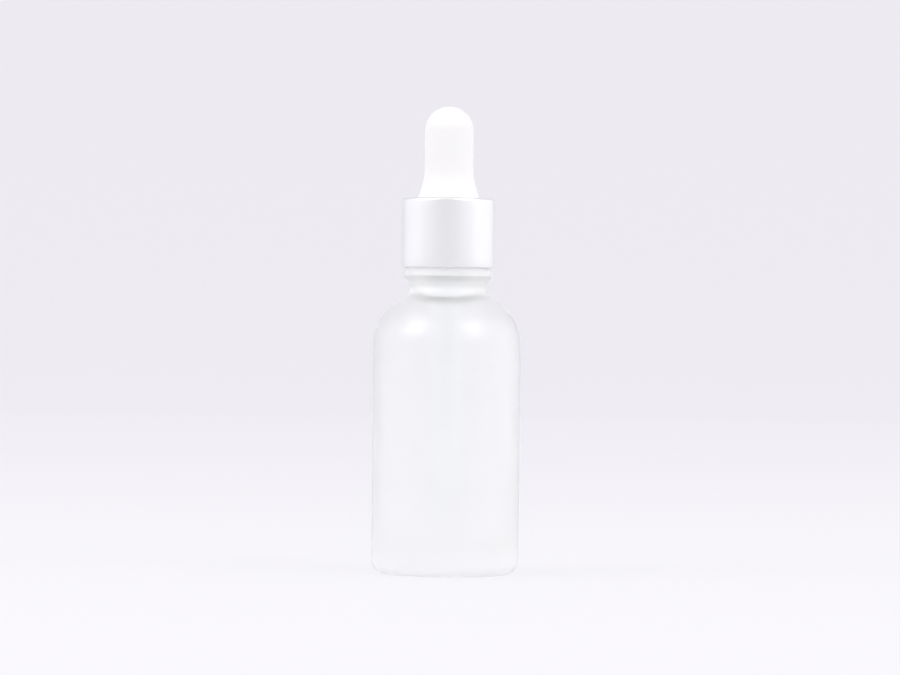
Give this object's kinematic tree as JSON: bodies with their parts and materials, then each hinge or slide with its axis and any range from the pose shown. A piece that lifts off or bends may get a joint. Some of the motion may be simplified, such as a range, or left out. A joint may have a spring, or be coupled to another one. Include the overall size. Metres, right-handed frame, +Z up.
{
  "type": "dropper bottle",
  "caption": "Frosted glass bottle with a round shoulder and a screw-on dropper: satin metal collar, threaded inner cap, rubber bulb and glass pipette.",
  "frame": {"origin": "centre of the bottle's foot ring, on the surface that the bottle stands on", "axes": "+Z up along the bottle's axis, towards the bulb; the bulb is pressed along +X"},
  "size_m": [0.033, 0.033, 0.1046],
  "materials": {
    "frosted_glass": "acid-etched, satin, translucent",
    "gasket_foam": "matte",
    "clear_glass": "clear, fire-polished",
    "bulb_rubber": "matte, slightly silky",
    "cap_plastic": "moulded, matte",
    "collar_metal": "satin anodised"
  },
  "bodies": {
    "bottle": {"bottle": "frosted_glass"},
    "seal": {"gasket": "gasket_foam"},
    "dropper": {"pipette": "clear_glass"},
    "bulb_wall": {"bulb": "bulb_rubber"},
    "cap": {"inner_cap": "cap_plastic", "collar": "collar_metal"}
  },
  "joints": [
    {"name": "dropper_lift", "type": "slide", "parent": "bottle", "child": "seal", "axis": [0, 0, 1], "range_m": [0, 0.08]},
    {"name": "cap_rise", "type": "slide", "parent": "seal", "child": "dropper", "axis": [0, 0, 1], "range_m": [0, 0.0045]},
    {"name": "cap_turn", "type": "hinge", "parent": "dropper", "child": "cap", "pos_m": [0, 0, 0.0762], "axis": [0, 0, 1], "range_deg": [0, 540]},
    {"name": "bulb_squeeze", "type": "slide", "parent": "dropper", "child": "bulb_wall", "axis": [1, 0, 0], "range_m": [0, 0.0035], "stiffness_N_per_m": 400, "deforming": ["bulb"]}
  ],
  "couplings": [
    {"joint": "cap_turn", "follows": "cap_rise", "rad_per_m": 2094.4}
  ]
}
